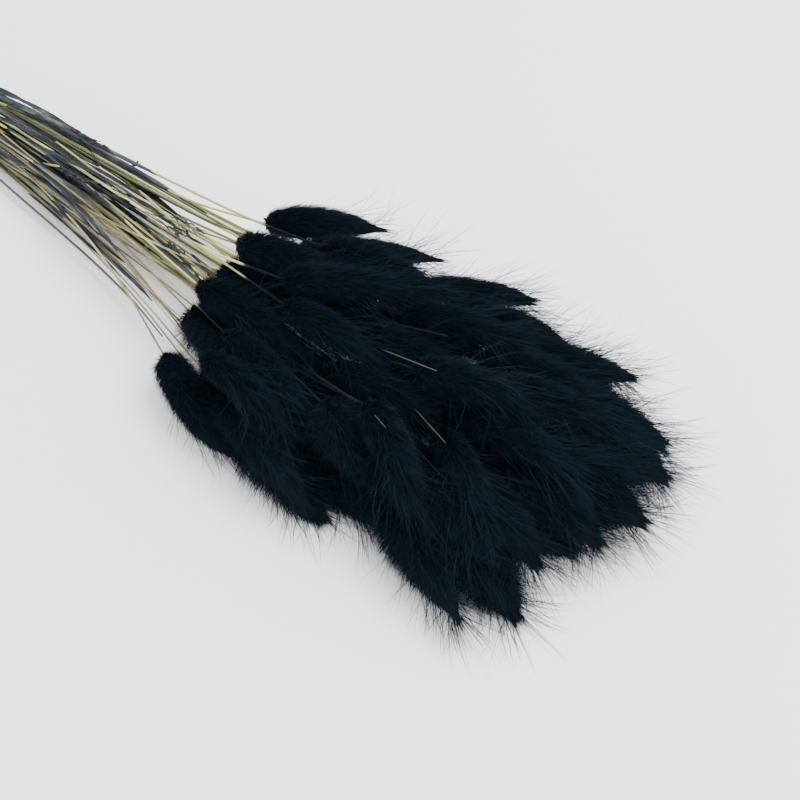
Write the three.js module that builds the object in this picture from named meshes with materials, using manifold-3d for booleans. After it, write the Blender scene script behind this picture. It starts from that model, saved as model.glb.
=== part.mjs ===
// A bunch of dried bunny tail grass, dyed black, lying on a flat surface.
// One cord near the cut ends ties it.
// Millimetres: +X runs along the bunch to the heads, +Z is up and the surface is z = 0.

import * as THREE from 'three';
import { mergeVertices } from 'three/addons/utils/BufferGeometryUtils.js';
import Module from 'manifold-3d';

const wasm = await Module();
wasm.setup();

// A stem is a four-sided rod, thinner where it meets its head; its route has a point every `span`
const stem = { endRadius: 0.95, neckRadius: 0.65, sides: 4, span: 40, neckGap: 0.4 };

// Every second stem is still wrapped in the thicker sheath of its leaf, which ends torn between two places
const sheath = { radius: 1.35, every: 2, from: -190, toNearest: -100, toFurthest: -20 };

// The stems are cut off at cutX. In the tie they stand in clusters of seven, three clusters on four.
const bundle = {
  cutX: -275, cutStray: 14,
  tieX: -235, tieY: 9, tieHalf: 8,
  lowerRow: 4, upperRow: 3, ringRadius: 1.25, pitchWide: 10.5, pitchHigh: 5,
};

// How the stems spread and arch from the tie to the heads; leaving and arriving are shares of their reach.
// The stem of a head beyond farFrom runs low, under the heads behind it, and rises to its head at the end.
const fan = {
  wide: 1.2, high: 2.4, lift: 11, aside: 4,
  straySide: 9, strayUp: 5,
  leaving: 0.6, arriving: 0.12,
  farFrom: 80, lowZ: 15, dip: 0.85, farLift: 6,
};

// The heads lie this many times wider and higher than the stems in the tie
const spread = { wide: 3.5, high: 4 };

// The tie is a cord wound side by side round the bundle; its lowest tenth is pressed flat on the surface
const tie = { cord: 1.5, turns: 3, around: 20, cordSides: 3, clearance: 0.35, valley: 0.35, pressed: 0.1 };

// A head: its widest radius, rows of tufts, how deep the valleys between them are and how far they lean
const tail = {
  girth: 7.3, around: 12, rows: 9,
  valley: 0.32, lean: 0.7, leanStray: 0.3, valleyStray: 0.2, shoulder: 0.16, tip: 0.1,
  spinePoints: 5, sag: 2.5, baseShare: 0.1,
};

// The radius of a head as a share of its girth, from base (0) to tip (1)
const headProfile = [
  [0, 0.5], [0.08, 0.82], [0.22, 1], [0.45, 0.98], [0.68, 0.86], [0.86, 0.68], [1, 0.34],
];

// A loose leaf blade is a flat four-sided rod that narrows at both ends. Its flat side is pressed close
// to the stems, so it settles as a thinner rod of half the thickness `lying`.
const blade = { halfWidth: 1.35, halfThickness: 0.45, lying: 0.8, sides: 4, spanPoints: 6, endShare: 0.5 };

// Pieces lie at least `gap` apart. A head that starts below `lowHead` sinks to the surface, which presses
// it `flat` deep: its tufts that point down (cosine below `under`) within `height` of the surface lie flat.
const gap = 0.56;
const lowHead = 12;
const flat = 1.1;
const pressed = { under: -0.8, height: 0.3 };

// How the bunch settles: in each round the plants are drawn back to their drawn shapes and pushed
// off each other. After the share `release` of the rounds is left, only their bends still hold them.
const settling = {
  rounds: 1200, release: 0.3, pull: 0.05, sink: 0.06,
  stemBend: 0.12, looseBend: 0.03, headBend: 0.2,
  headGive: 0.35, firmness: 0.8, reach: 16, pressedLinks: 2,
};

// Each head: its base (x, y, z), the way it points (degrees in plan, then up or down), length, girth factor
const heads = [
  [12, 22, 30, 41, -6, 55, 1.05], [30, 24, 27, 32, -3, 66, 0.88], [87, 39, 22, 33, -4, 54, 0.8],
  [108, 34, 24, 17, -5, 58, 1.0], [134, 40, 22, 18, -5, 62, 1.1], [21, -6, 37, 16, 0, 58, 1.1],
  [50, 15, 38, 18, -5, 60, 1.1], [52, -6, 38, 20, -4, 60, 1.0], [15, -25, 27, -2, 0, 66, 1.05],
  [14, -32, 18, -7, -3, 64, 1.05], [22, -54, 15, -18, -6, 62, 1.2], [58, -63, 12, -11, -3, 64, 1.0],
  [68, -60, 9, -13, -1, 60, 0.95], [47, -57, 24, -3, -4, 54, 0.9], [47, -37, 31, -6, -4, 58, 1.0],
  [62, -18, 36, 1, -5, 50, 0.95], [92, -24, 34, -1, -5, 50, 0.95], [82, -43, 20, -6, -5, 48, 0.95],
  [142, -53, 15, -24, -7, 61, 1.05], [162, -41, 10, -21, -3, 56, 1.2], [136, -35, 27, -21, -8, 58, 1.05],
  [146, -30, 32, -21, -8, 50, 0.95], [160, -30, 22, -15, -8, 52, 1.0], [175, -20, 14, 3, -6, 50, 1.1],
  [184, -2, 18, 3, -7, 46, 1.1], [182, 23, 16, 3, -7, 47, 1.0], [168, 32, 18, 7, -6, 51, 1.05],
  [136, 21, 32, 6, -6, 56, 1.1], [160, 16, 31, -3, -8, 54, 1.05], [150, -6, 35, 4, -6, 53, 1.05],
  [128, -5, 38, 3, -4, 54, 1.05], [178, -8, 27, 26, -10, 47, 0.95], [101, 11, 35, 16, -4, 52, 1.0],
  [94, -9, 36, 10, -4, 52, 1.0], [105, -43, 24, -12, -8, 52, 1.0], [122, -46, 26, -13, -8, 54, 1.05],
  [60, -20, 10, -2, -1, 58, 1.0], [92, -8, 9, -5, -1, 57, 1.05], [161, -23, 9, 1, -1, 56, 1.1],
  [108, 6, 10, 4, -1, 56, 1.0], [140, -12, 8, 4, 0, 56, 1.0], [72, 33, 11, 8, -1, 52, 1.0],
  [36, 10, 12, 12, -2, 54, 1.0], [15, -12, 31, 10, -2, 56, 1.05], [36, -44, 9, -12, 0, 54, 1.0],
  [92, -54, 8, -5, 0, 52, 1.05], [140, 48, 9, 4, -1, 52, 1.0],
];

// Stems that have lost their heads: where each ends (x, y, z)
const bareStems = [[128, 6, 46], [120, -30, 40]];

// Loose leaf blades on the bundle: start (x, y, z) and end (x, y, z)
const blades = [
  [[-166, 5, 40], [-80, 8, 44]], [[-120, -2, 44], [-22, -2, 50]],
  [[-180, -8, 40], [-100, -14, 44]], [[-98, 8, 44], [-24, 10, 50]],
];

const colours = {
  head: { color: 0x0f1a22, roughness: 0.95, metalness: 0 },
  stem: { color: 0xb9b485, roughness: 0.7, metalness: 0 },
  blade: { color: 0x3b4550, roughness: 0.8, metalness: 0 },
  tie: { color: 0xa98f63, roughness: 0.9, metalness: 0 },
};

// Seeded random numbers from 0 to 1
function seeded(seed) {
  let state = seed;
  return () => {
    state = (state * 1664525 + 1013904223) % 4294967296;
    return state / 4294967296;
  };
}

const radians = THREE.MathUtils.degToRad;
const mix = THREE.MathUtils.lerp;
const point = (x, y, z) => new THREE.Vector3(x, y, z);

// The radius of a head as a share of its girth, at the share t of its length
function headRadius(t) {
  for (let i = 1; i < headProfile.length; i++) {
    const [t0, r0] = headProfile[i - 1];
    const [t1, r1] = headProfile[i];
    if (t <= t1) return mix(r0, r1, (t - t0) / (t1 - t0));
  }
  return headProfile.at(-1)[1];
}

// The middle of a cluster and of the six stems round it
function hexagon(radius) {
  const places = [[0, 0]];
  for (let i = 0; i < 6; i++) {
    const angle = radians(30 + 60 * i);
    places.push([radius * Math.cos(angle), radius * Math.sin(angle)]);
  }
  return places;
}

// How far each of a row of clusters lies from the middle of the row
function rowOffsets(count) {
  return Array.from({ length: count }, (_, i) => (i - (count - 1) / 2) * bundle.pitchWide);
}

// Places of the clusters in the tie: four side by side, and three on top of them
const rowHeight = bundle.pitchHigh / 2;
const clusterPlaces = [
  ...rowOffsets(bundle.lowerRow).map((y) => [y, -rowHeight]),
  ...rowOffsets(bundle.upperRow).map((y) => [y, rowHeight]),
];
const stemPlaces = hexagon(bundle.ringRadius);

// The tie is an oval with round ends, whose middles lie tieFlat from its own middle. The outermost
// clusters of the lower row stand cornerRoom from the middle of a round end, just clear of the cord.
const clusterRadius = bundle.ringRadius + stem.endRadius;
const tieRadius = rowHeight + clusterRadius + tie.clearance;
const cornerRoom = tieRadius - clusterRadius - tie.clearance / 2;
const tieFlat = rowOffsets(bundle.lowerRow).at(-1) - Math.sqrt(cornerRoom ** 2 - rowHeight ** 2);
const tieHeight = tieRadius + tie.cord * (1 - tie.pressed);

// Each plant gets the free place in the tie that lies most in the direction of its own end
function choosePlaces(ends) {
  const middle = ends.reduce((sum, e) => sum.add(e), point(0, 0, 0)).divideScalar(ends.length);
  const free = [];
  clusterPlaces.forEach(([cy, cz], cluster) => {
    for (const [sy, sz] of stemPlaces) free.push({ cluster, y: cy + sy, z: cz + sz });
  });
  const order = ends.map((end, i) => {
    return { i, y: (end.y - middle.y) / spread.wide, z: (end.z - middle.z) / spread.high };
  });
  order.sort((a, b) => Math.hypot(b.y, b.z) - Math.hypot(a.y, a.z));
  const chosen = [];
  for (const plant of order) {
    const away = (place) => Math.hypot(place.y - plant.y, place.z - plant.z);
    free.sort((a, b) => away(a) - away(b));
    chosen[plant.i] = free.shift();
  }
  return chosen;
}

// A chain is a line of points with a radius at each: the stem from its cut end, then the spine of its head
function stemChain(place, end, heading, random, sheathed) {
  const points = [];
  const radii = [];
  const y = bundle.tieY + place.y;
  const z = tieHeight + place.z;
  const cut = bundle.cutX + bundle.cutStray * (random() - 0.5);
  for (const x of [cut, bundle.tieX + bundle.tieHalf]) {
    points.push(point(x, y, z));
    radii.push(stem.endRadius);
  }
  const start = points.at(-1);
  const reach = end.distanceTo(start);
  const isFar = end.x > fan.farFrom;
  const leaving = point(
    start.x + reach * fan.leaving,
    fan.aside + place.y * fan.wide + fan.straySide * (random() - 0.5),
    tieHeight + (isFar ? fan.farLift : fan.lift) + place.z * fan.high + fan.strayUp * (random() - 0.5),
  );
  const arriving = end.clone().addScaledVector(heading, -reach * fan.arriving);
  if (isFar) arriving.z = Math.min(end.z, mix(end.z, fan.lowZ, fan.dip));
  const route = new THREE.CubicBezierCurve3(start, leaving, arriving, end);
  const spans = Math.round(reach / stem.span);
  const sheathEnd = mix(sheath.toNearest, sheath.toFurthest, random());
  for (let i = 1; i <= spans; i++) {
    const p = route.getPointAt(i / spans);
    const isSheath = sheathed && p.x > sheath.from && p.x < sheathEnd;
    points.push(p);
    radii.push(isSheath ? sheath.radius : mix(stem.endRadius, stem.neckRadius, i / spans));
  }
  return { points, radii, pinned: 2, stemPoints: points.length, cluster: place.cluster };
}

function addHead(chain, base, heading, length, girth) {
  for (let i = 1; i < tail.spinePoints; i++) {
    const t = i / (tail.spinePoints - 1);
    const bow = tail.sag * 4 * t * (1 - t);
    chain.points.push(base.clone().addScaledVector(heading, length * t).add(point(0, 0, bow)));
    chain.radii.push(headRadius(t) * girth);
  }
  chain.baseRadius = headRadius(tail.baseShare) * girth;
  chain.girth = girth;
  return chain;
}

// Closest places on two straight links, as shares s and t of their lengths
function closest(p, q, a, b) {
  const dx = q.x - p.x, dy = q.y - p.y, dz = q.z - p.z;
  const ex = b.x - a.x, ey = b.y - a.y, ez = b.z - a.z;
  const rx = p.x - a.x, ry = p.y - a.y, rz = p.z - a.z;
  const dd = dx * dx + dy * dy + dz * dz;
  const ee = ex * ex + ey * ey + ez * ez;
  const de = dx * ex + dy * ey + dz * ez;
  const dr = dx * rx + dy * ry + dz * rz;
  const er = ex * rx + ey * ry + ez * rz;
  const determinant = dd * ee - de * de;
  let s = determinant > 1e-9 ? THREE.MathUtils.clamp((de * er - dr * ee) / determinant, 0, 1) : 0.5;
  let t = (de * s + er) / ee;
  if (t < 0 || t > 1) {
    t = THREE.MathUtils.clamp(t, 0, 1);
    s = THREE.MathUtils.clamp((de * t - dr) / dd, 0, 1);
  }
  return [s, t];
}

// A link is the capsule between two neighbouring points of a chain
function linksOf(chains) {
  const links = [];
  chains.forEach((chain, plant) => {
    for (let k = 0; k + 1 < chain.points.length; k++) {
      const isHead = k + 1 >= chain.stemPoints;
      links.push({
        chain, plant, k, isHead,
        p: chain.points[k],
        q: chain.points[k + 1],
        r0: isHead && k + 1 === chain.stemPoints ? chain.baseRadius : chain.radii[k],
        r1: chain.radii[k + 1],
        weight: isHead ? settling.headGive : 1,
        length: chain.points[k].distanceTo(chain.points[k + 1]),
      });
    }
  });
  return links;
}

// Draws each free point back towards its drawn place, and each bend towards its drawn bend
function easeBack(chain, calm) {
  const { points, drawn, pinned } = chain;
  const pull = calm > settling.release ? settling.pull : 0;
  for (let k = pinned; k < points.length; k++) {
    const p = points[k];
    p.x += (drawn[k].x - p.x) * pull;
    p.y += (drawn[k].y - p.y) * pull;
    p.z += chain.sinks ? -settling.sink * calm : (drawn[k].z - p.z) * pull;
    if (k + 1 === points.length) continue;
    const stemBend = calm > settling.release ? settling.stemBend : settling.looseBend;
    const ease = k >= chain.stemPoints ? settling.headBend : stemBend;
    const before = points[k - 1] ?? p;
    const drawnBefore = drawn[k - 1] ?? drawn[k];
    for (const axis of ['x', 'y', 'z']) {
      const bend = drawn[k][axis] - (drawnBefore[axis] + drawn[k + 1][axis]) / 2;
      p[axis] += ((before[axis] + points[k + 1][axis]) / 2 + bend - p[axis]) * ease;
    }
  }
}

// Two stems of one cluster stay pressed together where they leave the tie
function arePressed(a, b) {
  return a.chain.cluster === b.chain.cluster && Math.max(a.k, b.k) <= settling.pressedLinks;
}

function isFree(link, k) {
  return k >= link.chain.pinned ? link.weight : 0;
}

function pushApart(a, b) {
  const [s, t] = closest(a.p, a.q, b.p, b.q);
  const push = point(
    mix(a.p.x, a.q.x, s) - mix(b.p.x, b.q.x, t),
    mix(a.p.y, a.q.y, s) - mix(b.p.y, b.q.y, t),
    mix(a.p.z, a.q.z, s) - mix(b.p.z, b.q.z, t),
  );
  const distance = push.length();
  const apart = mix(a.r0, a.r1, s) + mix(b.r0, b.r1, t) + gap;
  if (distance >= apart) return;
  const [a0, a1, b0, b1] = [isFree(a, a.k), isFree(a, a.k + 1), isFree(b, b.k), isFree(b, b.k + 1)];
  const total = a0 * (1 - s) ** 2 + a1 * s * s + b0 * (1 - t) ** 2 + b1 * t * t;
  if (total < 1e-6) return;
  push.setLength(settling.firmness * (apart - distance) / total);
  a.p.addScaledVector(push, a0 * (1 - s));
  a.q.addScaledVector(push, a1 * s);
  b.p.addScaledVector(push, -b0 * (1 - t));
  b.q.addScaledVector(push, -b1 * t);
}

function pushAllApart(links) {
  links.sort((a, b) => Math.min(a.p.x, a.q.x) - Math.min(b.p.x, b.q.x));
  for (let i = 0; i < links.length; i++) {
    const a = links[i];
    const reach = Math.max(a.p.x, a.q.x) + settling.reach;
    for (let j = i + 1; j < links.length; j++) {
      const b = links[j];
      if (Math.min(b.p.x, b.q.x) > reach) break;
      if (a.plant !== b.plant && !arePressed(a, b)) pushApart(a, b);
    }
  }
}

// Gives a link its length back, and keeps it on the surface
function keepLength({ p, q, chain, k, length, r0, r1, isHead }) {
  const along = q.clone().sub(p);
  const stretch = (along.length() - length) / along.length();
  const free0 = k >= chain.pinned ? 1 : 0;
  const free1 = k + 1 >= chain.pinned ? 1 : 0;
  if (free0 + free1 > 0) {
    p.addScaledVector(along, stretch * free0 / (free0 + free1) / 2);
    q.addScaledVector(along, -stretch * free1 / (free0 + free1) / 2);
  }
  const sunk = isHead ? flat : 0;
  if (free0) p.z = Math.max(p.z, r0 - sunk);
  q.z = Math.max(q.z, r1 - sunk);
}

// Moves the chains until no two touch, each staying as near as it can to the shape it was drawn with
function settle(chains) {
  const links = linksOf(chains);
  for (const chain of chains) chain.drawn = chain.points.map((p) => p.clone());
  for (let round = 0; round < settling.rounds; round++) {
    for (const chain of chains) easeBack(chain, 1 - round / settling.rounds);
    pushAllApart(links);
    links.forEach(keepLength);
  }
}

// Maps a unit cylinder (its height is the route, its rim the section) onto a line of points
function alongRoute(around, rows, placeRim, route) {
  const unit = new THREE.CylinderGeometry(1, 1, 1, around, rows);
  unit.deleteAttribute('normal');
  unit.deleteAttribute('uv');
  const body = mergeVertices(unit, 1e-5);
  const position = body.attributes.position;
  const p = point(0, 0, 0);
  for (let v = 0; v < position.count; v++) {
    p.fromBufferAttribute(position, v);
    const row = Math.round((0.5 - p.y) * rows);
    const isCentre = Math.hypot(p.x, p.z) < 0.5;
    const turn = Math.atan2(p.x, p.z) / (2 * Math.PI);
    const column = isCentre ? -1 : Math.round(turn * around + around) % around;
    const { forward, side, up, centre } = route(row);
    const { out, angle, ahead } = placeRim(row, column);
    p.copy(centre).addScaledVector(side, out * Math.sin(angle)).addScaledVector(up, out * Math.cos(angle));
    p.addScaledVector(forward, ahead);
    position.setXYZ(v, p.x, p.y, Math.max(p.z, 0));
  }
  return body;
}

// The direction, side and upward direction at each of a line of points
function frameAt(points, i) {
  const before = points[Math.max(i - 1, 0)];
  const after = points[Math.min(i + 1, points.length - 1)];
  const forward = after.clone().sub(before).normalize();
  const side = point(0, 0, 1).cross(forward).normalize();
  const up = forward.clone().cross(side);
  return { forward, side, up, centre: points[i] };
}

function tubeBody(points, radii, sides, flatten) {
  const frames = points.map((_, i) => frameAt(points, i));
  const rows = points.length - 1;
  return alongRoute(sides, rows, (row, column) => {
    if (column < 0) return { out: 0, angle: 0, ahead: 0 };
    const angle = (column / sides) * 2 * Math.PI;
    return { out: radii[row] * (column % 2 ? 1 : flatten), angle, ahead: 0 };
  }, (row) => frames[row]);
}

// A head: rows of leaning tufts, raised from a tapered core by turns round and along it
function headBody(chain, random) {
  const spine = new THREE.CatmullRomCurve3(chain.points.slice(chain.stemPoints - 1));
  const { around, rows } = tail;
  const points = Array.from({ length: rows + 1 }, (_, i) => spine.getPointAt(i / rows));
  const frames = points.map((_, i) => frameAt(points, i));
  const step = spine.getLength() / rows;
  const wobble = Array.from({ length: (rows + 1) * around }, () => random());
  const placeRim = (row, column) => {
    const isEnd = row === 0 || row === rows;
    if (column < 0) return { out: 0, angle: 0, ahead: row === 0 ? 0 : step * tail.tip };
    const angle = ((column + 0.5 * (row % 2)) / around) * 2 * Math.PI;
    const isTuft = column % 2 === 0 && !isEnd;
    const chance = wobble[row * around + column];
    const lean = isTuft ? tail.lean * (1 - tail.leanStray * chance) : 0;
    const full = headRadius((row + lean) / rows) * chain.girth;
    if (isEnd) return { out: full, angle, ahead: row === 0 ? step * tail.shoulder : 0 };
    const isPressed = Math.cos(angle) < pressed.under && frames[row].centre.z - full < pressed.height;
    if (isPressed) return { out: full, angle, ahead: 0 };
    const valley = isTuft ? 0 : tail.valley * (1 - tail.valleyStray * chance);
    return { out: full * (1 - valley), angle, ahead: step * lean };
  };
  return alongRoute(around, rows, placeRim, (row) => frames[row]);
}

function solidOf(body) {
  return new wasm.Manifold(new wasm.Mesh({
    numProp: 3,
    vertProperties: new Float32Array(body.attributes.position.array),
    triVerts: new Uint32Array(body.index.array),
  }));
}

// The solid as a geometry, without any loose scrap that joining has left
function bodyOf(solid) {
  const largest = solid.decompose().reduce((a, b) => (a.volume() > b.volume() ? a : b));
  const mesh = largest.getMesh();
  const body = new THREE.BufferGeometry();
  body.setAttribute('position', new THREE.BufferAttribute(mesh.vertProperties, 3));
  body.setIndex(new THREE.BufferAttribute(mesh.triVerts, 1));
  return body;
}

// The tie: a cord wound round the bundle, its turns side by side in one ring
function tieBody() {
  const outline = [];
  for (let turn = 0; turn < tie.turns; turn++) {
    const x = (turn - (tie.turns - 1) / 2) * tie.cord;
    for (let i = 0; i < tie.cordSides; i++) {
      const angle = Math.PI * ((i + 0.5) / tie.cordSides);
      const out = mix(tie.valley, 1, Math.sin(angle));
      outline.push([x - (tie.cord / 2) * Math.cos(angle), tie.cord * out]);
    }
  }
  const profile = [
    [-tie.turns * tie.cord / 2, 0], ...outline, [tie.turns * tie.cord / 2, 0],
  ].map(([x, r]) => new THREE.Vector2(tieRadius + r, x));
  profile.push(profile[0].clone());
  const ring = new THREE.LatheGeometry(profile, tie.around);
  ring.deleteAttribute('normal');
  ring.deleteAttribute('uv');
  ring.rotateZ(-Math.PI / 2);
  const body = mergeVertices(ring, 1e-5);
  const position = body.attributes.position;
  for (let v = 0; v < position.count; v++) {
    const y = position.getY(v);
    const end = Math.abs(y) < 1e-3 ? 0 : Math.sign(y) * tieFlat;
    position.setY(v, y + end + bundle.tieY);
    position.setX(v, position.getX(v) + bundle.tieX);
    position.setZ(v, Math.max(position.getZ(v) + tieHeight, 0));
  }
  return body;
}

// Lay the plants out
const random = seeded(25);
const plants = heads.map(([x, y, z, turn, rise, length, girth]) => {
  const heading = point(
    Math.cos(radians(turn)) * Math.cos(radians(rise)),
    Math.sin(radians(turn)) * Math.cos(radians(rise)),
    Math.sin(radians(rise)),
  );
  return { end: point(x, y, z), heading, length, girth: girth * tail.girth };
});
for (const [x, y, z] of bareStems) plants.push({ end: point(x, y, z), heading: point(1, 0, 0) });

const places = choosePlaces(plants.map((plant) => plant.end));
const chains = plants.map((plant, i) => {
  const chain = stemChain(places[i], plant.end, plant.heading, random, i % sheath.every === 0);
  chain.sinks = plant.end.z <= lowHead;
  return plant.length ? addHead(chain, plant.end, plant.heading, plant.length, plant.girth) : chain;
});
const bladeChains = blades.map(([from, to], i) => {
  const points = [];
  for (let k = 0; k < blade.spanPoints; k++) {
    const t = k / (blade.spanPoints - 1);
    points.push(point(mix(from[0], to[0], t), mix(from[1], to[1], t), mix(from[2], to[2], t)));
  }
  const radii = points.map(() => blade.lying);
  return { points, radii, pinned: 0, stemPoints: points.length, cluster: -1 - i, sinks: true };
});
settle([...chains, ...bladeChains]);

// Build the solids
const bunch = new THREE.Group();

function addPiece(name, body, colour) {
  const mesh = new THREE.Mesh(body, new THREE.MeshStandardMaterial(colour));
  mesh.name = name;
  bunch.add(mesh);
}

chains.forEach((chain, i) => {
  if (!chain.girth) return;
  addPiece(`head_${String(i + 1).padStart(2, '0')}`, headBody(chain, random), colours.head);
});

clusterPlaces.forEach((_, cluster) => {
  const tubes = chains.filter((chain) => chain.cluster === cluster).map((chain) => {
    const points = chain.points.slice(0, chain.stemPoints);
    const end = points.at(-1).clone();
    const back = points.at(-2).clone().sub(end).setLength(stem.neckGap);
    points[points.length - 1] = end.add(back);
    return solidOf(tubeBody(points, chain.radii, stem.sides, 1));
  });
  addPiece(`stems_${cluster + 1}`, bodyOf(wasm.Manifold.union(tubes)), colours.stem);
});

bladeChains.forEach((chain, i) => {
  const last = chain.points.length - 1;
  const radii = chain.points.map((_, k) => blade.halfWidth * (k === 0 || k === last ? blade.endShare : 1));
  const body = tubeBody(chain.points, radii, blade.sides, blade.halfThickness / blade.halfWidth);
  addPiece(`leaf_${i + 1}`, body, colours.blade);
});

addPiece('tie', tieBody(), colours.tie);

// The origin is the middle of the bunch's own box, on the surface it lies on
const box = new THREE.Box3().setFromObject(bunch);
bunch.position.set(-(box.min.x + box.max.x) / 2, -(box.min.y + box.max.y) / 2, -box.min.z);

export default bunch;
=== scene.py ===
import itertools
import math

import bpy
import numpy as np
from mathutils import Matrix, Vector


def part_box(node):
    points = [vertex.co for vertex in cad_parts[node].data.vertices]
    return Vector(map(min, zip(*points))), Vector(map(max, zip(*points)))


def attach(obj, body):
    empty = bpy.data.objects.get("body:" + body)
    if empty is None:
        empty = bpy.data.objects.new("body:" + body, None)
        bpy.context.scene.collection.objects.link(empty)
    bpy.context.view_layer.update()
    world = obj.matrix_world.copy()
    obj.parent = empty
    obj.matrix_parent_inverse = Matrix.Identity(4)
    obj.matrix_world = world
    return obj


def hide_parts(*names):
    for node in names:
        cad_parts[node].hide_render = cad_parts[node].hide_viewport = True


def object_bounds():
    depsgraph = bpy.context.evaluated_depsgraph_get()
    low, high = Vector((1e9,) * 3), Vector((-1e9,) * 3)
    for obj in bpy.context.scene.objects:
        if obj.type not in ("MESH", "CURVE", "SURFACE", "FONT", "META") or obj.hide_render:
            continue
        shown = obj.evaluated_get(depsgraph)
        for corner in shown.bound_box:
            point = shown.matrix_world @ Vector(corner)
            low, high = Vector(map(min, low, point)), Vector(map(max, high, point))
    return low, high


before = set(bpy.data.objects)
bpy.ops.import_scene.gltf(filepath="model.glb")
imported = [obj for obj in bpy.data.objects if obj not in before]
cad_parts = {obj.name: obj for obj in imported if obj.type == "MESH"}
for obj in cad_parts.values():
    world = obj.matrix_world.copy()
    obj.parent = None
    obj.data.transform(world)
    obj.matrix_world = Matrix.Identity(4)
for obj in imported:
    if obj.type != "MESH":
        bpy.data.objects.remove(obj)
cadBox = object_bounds()
mm = 0.001
turn = 2 * math.pi
goldenAngle = math.pi * (3 - math.sqrt(5))

# how far the soft hairs may stand out of the solids' box, and how close they come to the surface
room = {"share": 0.028, "extra": 9 * mm, "floorGap": 0.12 * mm}
boxLow, boxHigh = np.array(cadBox[0]), np.array(cadBox[1])
spare = (boxHigh - boxLow) * room["share"] + room["extra"]
lowLimit = np.array([*(boxLow - spare)[:2], room["floorGap"]])
highLimit = boxHigh + spare


# a socket of a finish, so that shader maths reads as plain expressions
class Value:
    def __init__(self, finish, socket):
        self.finish, self.socket = finish, socket

    def maths(self, operation, *inputs):
        return self.finish.node("Math", {"operation": operation}, dict(enumerate(inputs)))

    def __add__(self, other):
        return self.maths("ADD", self, other)

    def __sub__(self, other):
        return self.maths("SUBTRACT", self, other)

    def __mul__(self, other):
        return self.maths("MULTIPLY", self, other)

    def clipped(self):
        return self.finish.node("Clamp", {}, {"Value": self})


# one material, whose nodes are all made by node()
class Finish:
    def __init__(self, name):
        self.material = bpy.data.materials.new(name)
        self.material.use_nodes = True
        self.tree = self.material.node_tree
        self.tree.nodes.clear()

    def node(self, kind, settings, inputs, output=0):
        made = self.tree.nodes.new("ShaderNode" + kind)
        for name, value in settings.items():
            if name == "stops":
                self.setStops(made.color_ramp, value)
            else:
                setattr(made, name, value)
        for name, value in inputs.items():
            if isinstance(value, Value):
                self.tree.links.new(value.socket, made.inputs[name])
            else:
                made.inputs[name].default_value = value
        return Value(self, made.outputs[output]) if len(made.outputs) else None

    def setStops(self, ramp, stops):
        while len(ramp.elements) < len(stops):
            ramp.elements.new(0.5)
        for element, (place, colour) in zip(ramp.elements, stops):
            element.position, element.color = place, colour

    def read(self, name, output="Fac"):
        return self.node("Attribute", {"attribute_name": name}, {}, output)

    def noise(self, vector, scale, detail, roughness=0.5):
        inputs = {"Vector": vector, "Scale": scale, "Detail": detail, "Roughness": roughness}
        return self.node("TexNoise", {}, inputs)

    # noise with its own scale across a piece, through it and along it
    def streaked(self, scales, detail, roughness=0.5):
        straight = self.read("straight", "Vector")
        stretched = self.node("VectorMath", {"operation": "MULTIPLY"}, {0: straight, 1: scales})
        return self.noise(stretched, 1.0, detail, roughness)

    def mixed(self, factor, first, second):
        return self.node("Mix", {"data_type": "RGBA"}, {0: factor, 6: first, 7: second}, 2)

    def ramp(self, factor, stops):
        return self.node("ValToRGB", {"stops": stops}, {0: factor})

    def raised(self, height, distance, strength):
        inputs = {"Height": height, "Distance": distance, "Strength": strength}
        return self.node("Bump", {}, inputs)

    def finished(self, colour, roughness, specular, normal=None):
        inputs = {"Base Color": colour, "Roughness": roughness, "Specular IOR Level": specular}
        if normal:
            inputs["Normal"] = normal
        shader = self.node("BsdfPrincipled", {}, inputs)
        self.node("OutputMaterial", {}, {"Surface": shader})
        return self.material


# a colour as a picture program shows it, from 0 to 255, as a shader reads it
def shown(red, green, blue):
    def linear(c):
        c /= 255
        return c / 12.92 if c <= 0.04045 else ((c + 0.055) / 1.055) ** 2.4
    return linear(red), linear(green), linear(blue), 1.0


# black dyed fur: each hair has its own tone, and is lighter towards its tip, which is painted light that
# shines through the thin tips
furLook = {
    "deep": shown(9, 16, 23), "dark": shown(15, 26, 35), "light": shown(27, 41, 52),
    "darkAt": 0.55, "toneShare": 0.8, "tipShare": 0.25, "roughness": 0.75, "specular": 0.05,
}


def furFinish():
    finish = Finish("dyed fur")
    # the tips' lighter colour is painted light shining through the thin hairs; the tone from hair to hair
    # is their own
    strand = finish.read("tone") * furLook["toneShare"] + finish.read("along") * furLook["tipShare"]
    colour = finish.ramp(strand.clipped(), [
        (0.0, furLook["deep"]), (furLook["darkAt"], furLook["dark"]), (1.0, furLook["light"]),
    ])
    return finish.finished(colour, furLook["roughness"], furLook["specular"])


# straw: each stem has its own tone, with streaks and blotches along it, dye close to its own head, and
# near-black among the heads, which is partly dye and partly painted shade
strawLook = {
    "tones": [
        (0.0, shown(56, 60, 58)), (0.16, shown(92, 90, 68)), (0.32, shown(130, 130, 82)),
        (0.52, shown(176, 182, 116)), (0.7, shown(160, 152, 92)), (0.84, shown(104, 92, 72)),
        (1.0, shown(200, 207, 146)),
    ],
    # the second colour, near-black, is put on the stems among the heads: partly dye, partly painted shade
    "dyeAndShade": shown(34, 42, 46), "shadeAmongHeads": shown(7, 13, 17),
    "streaks": (900.0, 900.0, 22.0), "blotches": (60.0, 60.0, 14.0),
    "streakDepth": 0.22, "blotchDepth": 0.3, "relief": (0.08 * mm, 0.7),
    "dyeFrom": 0.42, "dyeEdge": 2.2, "dyeAndShadeShare": 1.2, "dyeAndShadeFrom": 0.5, "dyeAndShadeRoughness": 0.25,
    "roughness": 0.5, "specular": 0.2,
}


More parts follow.
